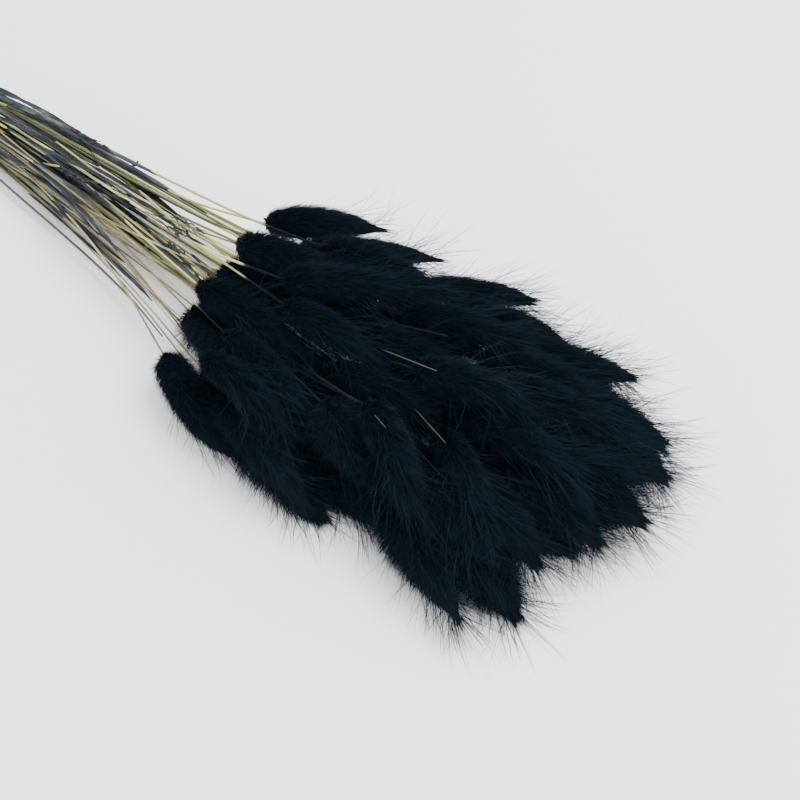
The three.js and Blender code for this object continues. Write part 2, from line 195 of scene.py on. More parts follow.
def strawFinish():
    finish = Finish("straw")
    look = strawLook
    dyeAndShade = finish.read("along")
    streaks = finish.streaked(look["streaks"], 3.0)
    blotches = finish.streaked(look["blotches"], 3.0)
    shade = finish.read("tone") + (streaks - 0.5) * look["streakDepth"]
    shade = shade + (blotches - 0.5) * look["blotchDepth"]
    colour = finish.ramp(shade.clipped(), look["tones"])
    # the dark mix holds the dye blotches and dye near the stem's end, and the near-black among the heads,
    # which is partly painted shade
    dyed = (blotches - look["dyeFrom"]) * look["dyeEdge"] + dyeAndShade * look["dyeAndShadeShare"] - look["dyeAndShadeFrom"]
    dyeAndShadeColour = finish.mixed((dyeAndShade - 1.0).clipped(), look["dyeAndShade"], look["shadeAmongHeads"])
    colour = finish.mixed(dyed.clipped(), colour, dyeAndShadeColour)
    roughness = (dyeAndShade * look["dyeAndShadeRoughness"] + look["roughness"]).clipped()
    return finish.finished(colour, roughness, look["specular"], finish.raised(streaks, *look["relief"]))


# dry leaf sheath and blade: slate dye that has rubbed off in patches, with veins along it
slateLook = {
    "dark": shown(16, 22, 28), "middle": shown(44, 50, 56), "pale": shown(84, 87, 84),
    "bare": shown(106, 111, 84), "stops": (0.15, 0.48, 0.85),
    "veins": (2600.0, 2600.0, 24.0), "patches": (380.0, 380.0, 46.0),
    "toneShare": 0.3, "veinShare": 0.5, "patchShare": 1.8, "lighter": 0.04,
    "wornFrom": 0.53, "wornEdge": 6.0, "veinRelief": 0.6, "patchRelief": 0.4,
    "relief": (0.22 * mm, 0.9), "roughness": 0.75, "specular": 0.15,
}


def slateFinish():
    finish = Finish("slate leaf")
    look = slateLook
    tone = finish.read("tone")
    veins = finish.streaked(look["veins"], 2.0)
    patches = finish.streaked(look["patches"], 5.0, 0.62)
    shade = tone * look["toneShare"] + veins * look["veinShare"]
    shade = (shade + (patches - 0.5) * look["patchShare"] + look["lighter"]).clipped()
    colours = look["dark"], look["middle"], look["pale"]
    colour = finish.ramp(shade, list(zip(look["stops"], colours)))
    worn = ((patches - look["wornFrom"]) * look["wornEdge"] * tone).clipped()
    colour = finish.mixed(worn, colour, look["bare"])
    relief = finish.raised(veins * look["veinRelief"] + patches * look["patchRelief"], *look["relief"])
    return finish.finished(colour, look["roughness"], look["specular"], relief)


# natural twine, with fibres along its plies
twineLook = {
    "pale": shown(188, 160, 112), "dark": shown(120, 92, 58), "fibres": (700.0, 700.0, 90.0),
    "relief": (0.15 * mm, 0.6), "roughness": 0.85, "specular": 0.2,
}


def twineFinish():
    finish = Finish("twine")
    look = twineLook
    fibres = finish.streaked(look["fibres"], 4.0, 0.6)
    colour = finish.mixed(fibres, look["dark"], look["pale"])
    relief = finish.raised(fibres, *look["relief"])
    return finish.finished(colour, look["roughness"], look["specular"], relief)


def unit(vectors):
    return vectors / np.maximum(np.linalg.norm(vectors, axis=-1, keepdims=True), 1e-12)


# a smooth line through points, with a side and an upward direction at each place along it
class Route:
    def __init__(self, points, spacing=1.5 * mm):
        points = np.asarray(points, float)
        chord = np.concatenate([[0], np.cumsum(np.linalg.norm(np.diff(points, axis=0), axis=1))])
        slopes = np.gradient(points, chord, axis=0)
        dense = np.linspace(0, chord[-1], max(int(chord[-1] / spacing), 8))  # 8 places or more
        k = np.clip(np.searchsorted(chord, dense, side="right") - 1, 0, len(chord) - 2)
        span = (chord[k + 1] - chord[k])[:, None]
        t = (dense - chord[k])[:, None] / span
        self.points = (
            (1 + 2 * t) * (1 - t) ** 2 * points[k] + t * (1 - t) ** 2 * span * slopes[k]
            + t * t * (3 - 2 * t) * points[k + 1] + t * t * (t - 1) * span * slopes[k + 1]
        )
        steps = np.linalg.norm(np.diff(self.points, axis=0), axis=1)
        self.stations = np.concatenate([[0], np.cumsum(steps)])
        self.length = self.stations[-1]
        self.forward = unit(np.gradient(self.points, self.stations, axis=0))
        self.side = unit(np.cross([0, 0, 1], self.forward))
        self.up = np.cross(self.forward, self.side)

    def read(self, table, s):
        return np.stack([np.interp(s, self.stations, table[:, i]) for i in range(3)], -1)

    def at(self, s):
        return self.read(self.points, s)

    # points at s along the route, out from it by radius at an angle from upwards
    def place(self, s, radius, angle):
        s, radius, angle = np.broadcast_arrays(s, radius, angle)
        beyond = s - np.clip(s, 0, self.length)
        centre = self.at(s) + beyond[..., None] * self.read(self.forward, s)
        out = np.cos(angle)[..., None] * self.read(self.up, s)
        out = out + np.sin(angle)[..., None] * self.read(self.side, s)
        return centre + radius[..., None] * out


# an object in the scene, at a place, and looking in a direction if it has one
def placed(name, data, place=(0, 0, 0), facing=None):
    made = bpy.data.objects.new(name, data)
    made.location = place
    if facing:
        made.rotation_euler = facing.to_track_quat("-Z", "Y").to_euler()
    bpy.context.scene.collection.objects.link(made)
    return made


counts = {}  # each piece's triangles


# triangles with numbers at their corners, gathered for one piece
class Shape:
    def __init__(self):
        self.points, self.triangles, self.numbers, self.count = [], [], {}, 0

    def add(self, points, triangles, **numbers):
        points = points.reshape(-1, 3)
        self.points.append(points)
        self.triangles.append(triangles.reshape(-1, 3) + self.count)
        self.count += len(points)
        for name, values in numbers.items():
            width = 3 if name == "straight" else 1
            wanted = (len(points), width)
            values = np.broadcast_to(np.asarray(values, float).reshape(-1, width), wanted)
            self.numbers.setdefault(name, []).append(values)

    # a closed tube on a route, `wide` and `high` across it and `turned` round it; `shift` moves its
    # pattern, `keel` folds it, `torn` moves points of its rims, and `ribs` swell its lines of points
    def addTube(self, route, s, wide, high, turned, around, shift,
                keel=0.0, torn=0.0, ribs=1.0, hollow=0.0, **numbers):
        angle = np.arange(around)[None] / around * turn
        wide, high, turned = (np.broadcast_to(v, s.shape)[:, None] for v in (wide, high, turned))
        sideways = wide * np.sin(angle) * ribs
        upward = high * np.cos(angle) * ribs + keel * np.abs(sideways)
        places = s[:, None] + torn
        grid = route.place(places, np.hypot(sideways, upward), np.arctan2(sideways, upward) + turned)
        points, triangles = closedBody(grid)
        points[-2, 0] += hollow
        straight = np.stack(np.broadcast_arrays(sideways, upward, places + shift), -1).reshape(-1, 3)
        straight = np.concatenate([straight, straight[:1], straight[-1:]])
        self.add(points, triangles, straight=straight, **numbers)

    # the mesh, the body that it rides on, its material and the nodes that it replaces; its slot is not used
    def piece(self, name, material, slot, nodes, smooth):
        points = np.clip(np.concatenate(self.points), lowLimit, highLimit)
        triangles = np.concatenate(self.triangles)
        mesh = bpy.data.meshes.new(name)
        mesh.vertices.add(len(points))
        mesh.vertices.foreach_set("co", points.ravel())
        mesh.loops.add(triangles.size)
        mesh.loops.foreach_set("vertex_index", triangles.ravel())
        mesh.polygons.add(len(triangles))
        mesh.polygons.foreach_set("loop_start", np.arange(0, triangles.size, 3))
        mesh.polygons.foreach_set("use_smooth", np.full(len(triangles), smooth))
        mesh.update(calc_edges=True)
        for key, values in self.numbers.items():
            kind, field = ("FLOAT_VECTOR", "vector") if key == "straight" else ("FLOAT", "value")
            data = mesh.attributes.new(key, kind, "POINT").data
            data.foreach_set(field, np.concatenate(values).ravel())
        mesh.materials.append(material)
        made = placed(name, mesh)
        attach(made, "root")
        if nodes:
            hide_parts(*nodes)
        counts[name] = len(triangles)


def gridTriangles(rows, columns):
    row, column = np.meshgrid(np.arange(rows - 1), np.arange(columns), indexing="ij")
    a = row * columns + column
    b = row * columns + (column + 1) % columns
    c, d = b + columns, a + columns
    return np.concatenate([np.stack([a, c, b], -1), np.stack([a, d, c], -1)]).reshape(-1, 3)


# a closed body from a grid of points: rows along it, columns round it, and a middle at each end
def closedBody(grid):
    rows, columns, _ = grid.shape
    points = np.concatenate([grid.reshape(-1, 3), [grid[0].mean(0)], [grid[-1].mean(0)]])
    first, last = rows * columns, rows * columns + 1
    j = np.arange(columns)
    k = (j + 1) % columns
    end = (rows - 1) * columns
    startCap = np.stack([np.full(columns, first), j, k], -1)
    endCap = np.stack([np.full(columns, last), end + k, end + j], -1)
    return points, np.concatenate([gridTriangles(rows, columns), startCap, endCap])


# thin pointed blades: paths is hairs x points x 3, and the last point of each is its tip
def bladeBodies(paths, halfWidths, facing):
    hairs, steps, _ = paths.shape
    across = unit(np.cross(paths[:, -1] - paths[:, 0], facing))
    spread = across[:, None] * np.broadcast_to(halfWidths, (hairs, steps))[..., None]
    rims = np.stack([paths - spread, paths + spread], 2)[:, :-1].reshape(hairs, -1, 3)
    points = np.concatenate([rims, paths[:, -1:]], 1)
    one = []
    for j in range(steps - 2):
        one += [(2 * j, 2 * j + 1, 2 * j + 3), (2 * j, 2 * j + 3, 2 * j + 2)]
    one.append((2 * steps - 4, 2 * steps - 3, 2 * steps - 2))
    triangles = np.array(one)[None] + np.arange(hairs)[:, None, None] * (2 * steps - 1)
    along = np.append(np.repeat(np.arange(steps - 1), 2), steps - 1) / (steps - 1)
    return points, triangles, np.tile(along, hairs)


# a node's corners, joined where they meet, and the corners next to each
def weldedMesh(node):
    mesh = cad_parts[node].data
    corners = np.zeros(len(mesh.vertices) * 3)
    mesh.vertices.foreach_get("co", corners)
    points, index = np.unique(corners.reshape(-1, 3).round(6), axis=0, return_inverse=True)
    index = index.reshape(-1)
    near = [set() for _ in points]
    for face in mesh.polygons:
        for a, b in itertools.permutations(index[list(face.vertices)], 2):
            near[a].add(b)
    for i, others in enumerate(near):
        others.discard(i)
    return points, near


# corners in the middle of a rod's flat end, which has four more corners round it
def capMiddles(points, near, tolerance=0.02 * mm):
    caps = []
    for i, others in enumerate(near):
        if len(others) == 4 and np.linalg.norm(points[sorted(others)].mean(0) - points[i]) < tolerance:
            caps.append(i)
    return caps


# the rings of corners met on the way from an end's middle, while each has as many as the first,
# and the corners that come after them
def ringsFrom(start, near):
    ring = sorted(near[start])
    seen = {start, *ring}
    size = len(ring)
    rings = []
    while len(ring) == size:
        rings.append(ring)
        ring = sorted(set().union(*(near[i] for i in ring)) - seen)
        seen.update(ring)
    return rings, ring


# hairs that would reach past the allowed box at its sides are shortened
def shortened(paths):
    run = paths - paths[:, :1]
    space = np.where(run > 0, highLimit, lowLimit) - paths[:, :1]
    share = np.abs(space)[..., :2] / np.maximum(np.abs(run)[..., :2], 1e-9)
    return paths[:, :1] + run * share.min((1, 2)).clip(0, 1)[:, None, None]


# the heads
tail = {
    "shape": ([0, 0.03, 0.08, 0.22, 0.45, 0.68, 0.86, 1.0], [0.4, 0.72, 0.9, 1, 0.99, 0.85, 0.6, 0.2]),
    "core": {
        "share": 0.7, "rows": 22, "around": 14, "from": 0.4 * mm, "short": 4.5 * mm, "tone": 0.05,
        "bumps": 0.07, "wavesAround": (5, 3), "wavesAlong": (1400, 2100),
    },
    "tufts": {
        "count": 120, "short": 3.5 * mm, "steps": 200, "evener": 1 * mm, "turned": 900,
        "along": 2.3 * mm, "across": 1.9 * mm, "leastRadius": 2 * mm,
        "gather": 0.42, "gatherEnds": 0.6, "root": 0.85,
    },
    "reach": ([0, 0.05, 0.14, 0.8, 1.0], [-1.4 * mm, 0.8 * mm, 5.0 * mm, 6.4 * mm, 5.0 * mm]),
    "gatherAlong": ([0, 0.6, 0.85], [1.0, 1.0, 0.35]),
    # what differs from hair to hair
    "hair": {
        "reach": (0.75, 1.25), "twist": 0.06, "bow": (0.06, 0.05), "tone": 0.45, "toneStray": 0.16,
        "tilt": 0.6, "tipShare": 0.55, "thickness": (0.7, 1.2),
    },
    "coat": {"count": 10400, "halfWidth": 0.165 * mm, "out": 1.08, "stray": 0.11, "tone": 0.12},
    "wisps": {
        "count": 1900, "halfWidth": 0.09 * mm, "out": 1.18, "stray": 0.15, "longer": 1.7, "tone": 0.12,
    },
    "awns": {
        "count": 400, "halfWidth": 0.11 * mm, "from": 0.3, "to": 0.97, "toTip": 0.7,
        "long": (8 * mm, 30 * mm), "lean": (3, 42), "wider": 12, "widest": 75, "curl": 0.08,
        "swirl": 0.2, "root": 0.8, "tone": (0, 0.75), "steps": 4,
        # the share that is left on heads whose bristles are worn off
        "worn": {"head_01": 0.22, "head_02": 0.35, "head_03": 0.6, "head_11": 0.3, "head_12": 0.5},
    },
    # how sharply a head tapers to its tip, 1 for blunt; some are sharper than the rest
    "taper": (0.9, 1.35), "taperFrom": 0.4, "sharp": {"head_01": 1.8, "head_02": 1.6, "head_19": 2.0},
    # heads under others: how far up those lie, how much wider they are pressed, how many hairs stay
    "overhead": 0.8, "pressed": ([0.15, 0.6], [0.0, 1.0]), "hiddenFrom": 0.8, "hiddenShare": 0.55,
}


class Head:
    def __init__(self, node, seed):
        self.node, self.random = node, np.random.default_rng(seed)
        points, near = weldedMesh(node)
        ends = [i for i, others in enumerate(near) if len(others) == max(map(len, near))]
        start = min(ends, key=lambda i: points[i][0])
        rings, finish = ringsFrom(start, near)
        middles = [points[ring].mean(0) for ring in rings[1:-1]]
        self.route = Route([points[start], *middles, points[finish[0]]], 1 * mm)
        away = np.linalg.norm(points[:, None] - self.route.points[None], axis=-1).min(1)
        self.girth = away.max()
        self.length = self.route.length
        self.taper = tail["sharp"].get(node, self.random.uniform(*tail["taper"]))

    def radius(self, s):
        place = s / self.length
        share = np.interp(place, *tail["shape"])
        return self.girth * np.where(place > tail["taperFrom"], share ** self.taper, share)

    # how much wider the head is at an angle from upwards
    def spreadAt(self, angle):
        return 1 + self.wider * np.abs(np.sin(angle))

    # a head that lies under others is pressed wider, and gets fewer hairs once it is hidden
    def settle(self):
        covered = self.coveredShare()
        self.wider = np.interp(covered, *tail["pressed"])
        self.fullness = tail["hiddenShare"] if covered > tail["hiddenFrom"] else 1.0

    # how much of the head lies under other heads, from 0 to 1
    def coveredShare(self):
        isUnder = np.zeros(len(self.route.points), bool)
        for other in heads:
            away = other.route.points[None] - self.route.points[:, None]
            isNear = np.hypot(away[..., 0], away[..., 1]) < other.girth
            isUnder |= (isNear & (away[..., 2] > tail["overhead"] * self.girth)).any(1)
        return isUnder.mean()

    def core(self, shape):
        core = tail["core"]
        s = np.linspace(core["from"], self.length - core["short"], core["rows"])[:, None]
        angle = np.arange(core["around"])[None] / core["around"] * turn
        around, along = core["wavesAround"], core["wavesAlong"]
        first = core["bumps"] * np.sin(angle * around[0] + s * along[0])
        bumps = 1 + first * np.sin(s * along[1] - angle * around[1])
        radius = self.radius(s) * core["share"] * bumps * self.spreadAt(angle)
        points, triangles = closedBody(self.route.place(s, radius, angle))
        shape.add(points, triangles, tone=core["tone"], along=0.0)

    # hairs that stand in tufts: each starts near its tuft's middle and leans to its tuft's tip
    def hairs(self, shape, look, steps, longer=1.0):
        random, tufts, hair = self.random, tail["tufts"], tail["hair"]
        n = int(look["count"] * self.fullness)
        grid = np.linspace(0, self.length - tufts["short"], tufts["steps"])
        area = np.cumsum(self.radius(grid) + tufts["evener"])
        places = np.interp((np.arange(tufts["count"]) + 0.5) / tufts["count"] * area[-1], area, grid)
        turns = np.arange(tufts["count"]) * goldenAngle + self.girth * tufts["turned"]
        tuftTone = random.normal(0, look["tone"], tufts["count"])
        tuft = random.integers(0, tufts["count"], n)
        s0 = np.clip(places[tuft] + random.normal(0, tufts["along"], n), 0, grid[-1])
        width = tufts["across"] / np.maximum(self.radius(s0), tufts["leastRadius"])
        angle0 = turns[tuft] + random.normal(0, 1, n) * width
        reach = np.interp(s0 / self.length, *tail["reach"]) * longer
        s1 = s0 + reach * random.uniform(*hair["reach"], n)
        tuftTip = places[tuft] + np.interp(places[tuft] / self.length, *tail["reach"]) * longer
        gather = tufts["gather"] * np.interp(s0 / self.length, *tail["gatherAlong"])
        s1 = s1 + (tuftTip - s1) * gather * tufts["gatherEnds"]
        angle1 = angle0 + (turns[tuft] - angle0) * gather + random.normal(0, hair["twist"], n)
        out = look["out"] * (1 + random.normal(0, look["stray"], n)) * self.spreadAt(angle1)
        r0 = self.radius(s0) * tail["core"]["share"] * tufts["root"]
        r1 = self.radius(s1) * out
        t = np.linspace(0, 1, steps)[None]
        bow = np.sin(t * math.pi) * random.normal(*hair["bow"], n)[:, None]
        s = s0[:, None] + (s1 - s0)[:, None] * t
        radius = r0[:, None] + (r1 - r0)[:, None] * (t + bow)
        angle = angle0[:, None] + (angle1 - angle0)[:, None] * t
        tone = hair["tone"] + tuftTone[tuft] + random.normal(0, hair["toneStray"], n)
        self.grow(shape, self.route.place(s, radius, angle), look, np.clip(tone, 0, 1))

    # single long bristles, most of them round the tip
    def awns(self, shape):
        random, look = self.random, tail["awns"]
        n = int(look["count"] * self.fullness * look["worn"].get(self.node, 1))
        start = look["from"] + (look["to"] - look["from"]) * random.uniform(0, 1, n) ** look["toTip"]
        s0 = self.length * start
        angle0 = random.uniform(0, turn, n)
        long = random.uniform(*look["long"], n)
        stray = look["wider"] * random.normal(0, 1, n) ** 2
        lean = np.radians(np.clip(random.uniform(*look["lean"], n) + stray, 0, look["widest"]))
        t = np.linspace(0, 1, look["steps"])[None]
        curl = random.normal(0, look["curl"], n)[:, None] * t
        forward = long[:, None] * t * np.cos(lean[:, None] + curl)
        outward = long[:, None] * t * np.sin(lean[:, None] + curl)
        radius = (self.radius(s0) * look["root"])[:, None] + outward
        angle = angle0[:, None] + random.normal(0, look["swirl"], n)[:, None] * t
        paths = self.route.place(s0[:, None] + forward, radius, angle)
        self.grow(shape, paths, look, random.uniform(*look["tone"], n))

    # thin blades on the hairs' paths, which face outward and taper to their tips
    def grow(self, shape, paths, look, tone):
        random, hair = self.random, tail["hair"]
        hairs, steps, _ = paths.shape
        paths = shortened(paths)
        direction = unit(paths[:, -1] - paths[:, 0])
        middle = self.route.at(self.nearest(paths[:, 0]))
        outward = unit(paths[:, -1] - middle)
        sideways = unit(np.cross(direction, outward))
        tilt = random.normal(0, hair["tilt"], hairs)[:, None]
        facing = outward * np.cos(tilt) + sideways * np.sin(tilt)
        thinning = np.linspace(1, hair["tipShare"], steps)[None] if steps > 2 else np.ones((1, 2))
        halfWidths = look["halfWidth"] * thinning * random.uniform(*hair["thickness"], (hairs, 1))
        points, triangles, along = bladeBodies(paths, halfWidths, facing)
        shape.add(points, triangles, tone=np.repeat(tone, 2 * steps - 1), along=along)

    # how far along the head points lie
    def nearest(self, points):
        forward = unit(self.route.points[-1] - self.route.points[0])
        return np.clip((points - self.route.points[0]) @ forward, 0, self.length)

    def build(self, material):
        shape = Shape()
        self.core(shape)
        self.hairs(shape, tail["coat"], 2)
        self.hairs(shape, tail["wisps"], 3, tail["wisps"]["longer"])
        self.awns(shape)
        shape.piece("fur_" + self.node[-2:], material, "fur", [self.node], False)


# the tie's oval has round ends, and its lowest part is pressed on the surface
band = {
    "turns": 3, "pressed": 0.1, "plies": 3, "plyRadius": 0.55, "plyOut": 0.5, "pitch": 5 * mm,
    "spacing": 0.9 * mm, "around": 6, "slant": 1.3, "halfWidth": 1.02,
    # the knot's way over the top of the band, in millimetres
    "knot": [
        (-5.5, -9.5, -1.6), (-3.2, -6.0, -0.5), (-1.4, -2.6, 0.8), (0.9, -0.9, 1.3), (2.4, 0.9, 1.2),
        (1.4, 2.6, 0.8), (-0.9, 2.4, 0.6), (-2.4, 0.8, 1.0), (-1.2, -1.2, 1.9), (1.0, -1.4, 2.3),
        (2.0, 0.6, 2.2), (0.6, 2.4, 1.7), (2.2, 4.6, 1.1), (4.4, 7.2, -0.2), (6.4, 9.8, -1.6),
    ],
}


class Band:
    def __init__(self):
        low, high = map(np.array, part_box("tie"))
        self.cord = (high[0] - low[0]) / band["turns"]
        self.outer = (high[2] - low[2] + band["pressed"] * self.cord) / 2
        self.centre = np.array([*(low + high)[:2] / 2, high[2] - self.outer])
        self.flat = (high[1] - low[1]) / 2 - self.outer
        self.front = high[0]

    # the cord's middle, wound round the bundle from one side of the band to the other
    def winding(self):
        radius = self.outer - self.cord / 2
        bend, straight = math.pi * radius, 2 * self.flat
        lap = 2 * (bend + straight)
        run = np.arange(0, lap * band["turns"], 2 * band["spacing"])
        at = run % lap
        corners = [0, straight, straight + bend, 2 * straight + bend, lap]
        angle = np.interp(at, corners, [0, 0, math.pi, math.pi, turn])
        middle = np.interp(at, corners, [self.flat, -self.flat, -self.flat, self.flat, self.flat])
        y = middle - radius * np.sin(angle)
        z = radius * np.cos(angle)
        x = (run / lap / band["turns"] - 0.5) * (band["turns"] - 1) * self.cord * band["slant"]
        half = self.cord * band["halfWidth"]
        return self.centre + np.stack([np.clip(x, -half, half), y, z], -1)

    def knot(self):
        top = self.centre + [0, 0, self.outer - self.cord / 2]
        return top + np.array(band["knot"]) * mm


tieBand = Band()


layoutZero = np.array([235.0, -9.0, 0.0])  # where the stems reach the heads, from the tie's middle


# a place in millimetres from the layout's zero, as the frame has it
def laid(x, y, z=0.0):
    return np.array([*tieBand.centre[:2], 0.0]) + (layoutZero + (x, y, z)) * mm


# the stems: four clusters side by side in the tie, and three on top of them
straw = {
    "ringRadius": 1.25 * mm, "rows": (4, 3), "pitchWide": 10.5 * mm, "pitchHigh": 5 * mm, "tieHalf": 8 * mm,
    # how much wider the loose rods spread, how near a place its own rod's corners lie, and how thick
    # a rod is where a sheath wraps it
    "fan": 3, "reach": 1.1 * mm, "wrappedFrom": 1.2 * mm, "patternStep": 0.7,
    "around": 8, "spacing": 5 * mm, "radius": (0.95 * mm, 0.65 * mm), "thickness": (0.64, 1.0),
    "intoHead": 2.5 * mm, "nodes": 5, "nodeEvery": (70 * mm, 130 * mm), "nodeSwell": 0.28,
    "nodeLength": 1.3 * mm, "nodeRows": [-1.5, -0.5, 0, 0.5, 1.5], "lastNode": 3 * mm,
    # how dark the stems get: dye close to their own heads, and near-black among the heads, which is partly
    # dye and partly painted shade
    "stainLength": 7 * mm, "shadeNear": 8 * mm, "shadeAfter": (2 * mm, 24 * mm), "shadeRise": 6 * mm,
    # the stems at the bunch's near side, beyond this place, are thinner and brown
    "outerFrom": (-60, -12), "outerThinner": 0.8, "outerTone": (0.78, 0.9),
    # under the tie the stems of a cluster lie in loose layers, and their cut ends aren't level
    "clusterShare": 0.871, "layerWider": 2.82, "layerStray": (0.35 * mm, 0.25 * mm), "cutStray": 5 * mm,
    "hollow": 3 * mm,  # how deep the cut ends are
}


# seven places across a cluster: its middle, and six round it
def hexagon(radius):
    around = [(radius * math.cos(a), radius * math.sin(a)) for a in np.radians(30 + 60 * np.arange(6))]
    return np.array([(0, 0), *around])


# the clusters' middles, across from the tie's own
def clusterPlaces():
    places = []
    for row, count in enumerate(straw["rows"]):
        for i in range(count):
            places.append(((i - (count - 1) / 2) * straw["pitchWide"], (row - 0.5) * straw["pitchHigh"]))
    return places


# a stem's line, from its cut end through its place in the tie to its head
class Stem:
    def __init__(self, cluster, cut, front, free, radii):
        self.cluster = cluster
        cutPoint = np.array([cut, *front[1:]])
        back = np.array([front[0] - 2 * straw["tieHalf"], *front[1:]])
        middle = (cutPoint + back) / 2
        self.route = Route([cutPoint, middle, back, front, *free])
        wrapped = [self.station(p) for p, r in zip(free, radii) if r > straw["wrappedFrom"]]
        self.wrapped = (min(wrapped), max(wrapped)) if wrapped else None
        outer = laid(*straw["outerFrom"])
        self.isOuter = np.interp(outer[0], self.route.points[:, 0], self.route.points[:, 1]) < outer[1]

    # how far along the stem a point lies
    def station(self, point):
        away = np.linalg.norm(self.route.points - point, axis=1)
        return self.route.stations[away.argmin()]


# how dark each place along a stem is, from 0 to 2: most among the heads, where it is partly dye and partly
# painted shade, and dye close to the stem's own end
def dyeAndShadeAlong(stem, s, random):
    away = np.linalg.norm(stem.route.points[:, None, :2] - headPoints[None, :, :2], axis=-1).min(1)
    isAmong = away < straw["shadeNear"]
    first = stem.route.stations[isAmong.argmax()] if isAmong.any() else stem.route.length
    first += random.uniform(*straw["shadeAfter"])
    shadeAmongHeads = 2 * np.clip((s - first) / straw["shadeRise"], 0, 1)
    return np.maximum(shadeAmongHeads, np.clip(1 - (stem.route.length - s) / straw["stainLength"], 0, 1))


# each cluster's loose rods, each joined to the place in the tie that suits its direction best
def readStems():
    random = np.random.default_rng(5)
    stems = []
    for cluster, (clusterY, clusterZ) in enumerate(clusterPlaces()):
        points, near = weldedMesh(f"stems_{cluster + 1}")
        loose = []
        for cap in capMiddles(points, near):
            if points[cap][0] < tieBand.front:
                continue
            rings, _ = ringsFrom(cap, near)
            middles = [points[r].mean(0) for r in rings][::-1]
            radii = [np.linalg.norm(points[r] - points[r].mean(0), axis=1).mean() for r in rings][::-1]
            loose.append((middles, radii))
        places = hexagon(straw["ringRadius"]) + (clusterY, clusterZ) + tieBand.centre[1:]
        layers = hexagon(straw["ringRadius"]) * (straw["layerWider"], 1)
        layers += (clusterY * straw["clusterShare"], clusterZ) + tieBand.centre[1:]
        layers += random.uniform(-1, 1, layers.shape) * straw["layerStray"]
        firsts = np.array([middles[0][1:] for middles, _ in loose])
        spread = (firsts - firsts.mean(0)) / straw["fan"] + places.mean(0)
        cost = np.linalg.norm(spread[:, None] - places[None], axis=-1) ** 2
        orders = itertools.permutations(range(len(places)), len(loose))
        best = min(orders, key=lambda order: sum(cost[i, k] for i, k in enumerate(order)))
        for (middles, radii), k in zip(loose, best):
            isNear = np.linalg.norm(points[:, 1:] - places[k], axis=1) < straw["reach"]
            cut = points[isNear, 0].min() + random.uniform(0, straw["cutStray"])
            front = np.array([tieBand.centre[0] + straw["tieHalf"], *layers[k]])
            stems.append(Stem(cluster, cut, front, middles, radii))
    return stems


print("reading the heads and stems from the frame")
headNodes = sorted(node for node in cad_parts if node.startswith("head"))
heads = [Head(node, 100 + i) for i, node in enumerate(headNodes)]
for head in heads:
    head.settle()
headPoints = np.concatenate([head.route.points for head in heads])
stems = readStems()
print(len(heads), "heads,", sum(h.fullness < 1 for h in heads), "of them hidden,", len(stems), "stems")


def buildStems(material):
    random = np.random.default_rng(7)
    clusters = [Shape() for _ in clusterPlaces()]
    for i, stem in enumerate(stems):
        end = stem.route.length + straw["intoHead"]
        s = np.linspace(0, end, int(end / straw["spacing"]))
        nodes = np.cumsum(random.uniform(*straw["nodeEvery"], straw["nodes"]))
        extra = (nodes[:, None] + straw["nodeLength"] * np.array(straw["nodeRows"])).ravel()
        s = np.sort(np.concatenate([s, extra[extra < end - straw["lastNode"]]]))
        thickness = random.uniform(*straw["thickness"])
        radius = thickness * np.interp(s / end, [0, 1], straw["radius"])
        for node in nodes:
            radius = radius * (1 + straw["nodeSwell"] * np.exp(-((s - node) / straw["nodeLength"]) ** 2))
        dyeAndShade = dyeAndShadeAlong(stem, s, random)
        tone = random.uniform(0, 1)
        if stem.isOuter:
            radius = radius * straw["outerThinner"]
            tone = np.interp(tone, [0, 1], straw["outerTone"])
        around, shift, hollow = straw["around"], i * straw["patternStep"], straw["hollow"]
        along = np.append(np.repeat(dyeAndShade, around), [dyeAndShade[0], dyeAndShade[-1]])
        clusters[stem.cluster].addTube(
            stem.route, s, radius, radius, 0.0, around, shift, hollow=hollow, tone=tone, along=along)
    for k, shape in enumerate(clusters):
        shape.piece(f"straws_{k + 1}", material, "straw", [f"stems_{k + 1}"], True)


# leaf sheaths that still wrap their stems, flattened, with torn ends
sheath = {
    "halfWidth": (1.2 * mm, 1.8 * mm), "halfHeight": (0.7 * mm, 0.92 * mm), "around": 16,
    "spacing": 3 * mm, "leastRows": 8, "before": (4 * mm, 38 * mm), "after": (6 * mm, 30 * mm),
    "fromTie": 10 * mm, "fromHead": 25 * mm, "twist": 0.05, "tone": (0.1, 1),
    "wideWave": (11 * mm, 0.8, 1.18), "highWave": (9 * mm, 0.9, 1.1), "ribs": (0.84, 1.1),
    "lip": 2 * mm, "lipWide": 0.75, "lipHigh": 0.6, "torn": (1 * mm, 8 * mm),
    "narrowing": 12 * mm, "narrowEnd": 0.5,
}


# values at s that wander between low and high, with a new one at each step of `every`
def wavy(random, s, every, low, high):
    knots = np.arange(s.min(), s.max() + 2 * every, every)
    return np.interp(s, knots, random.uniform(low, high, len(knots)))


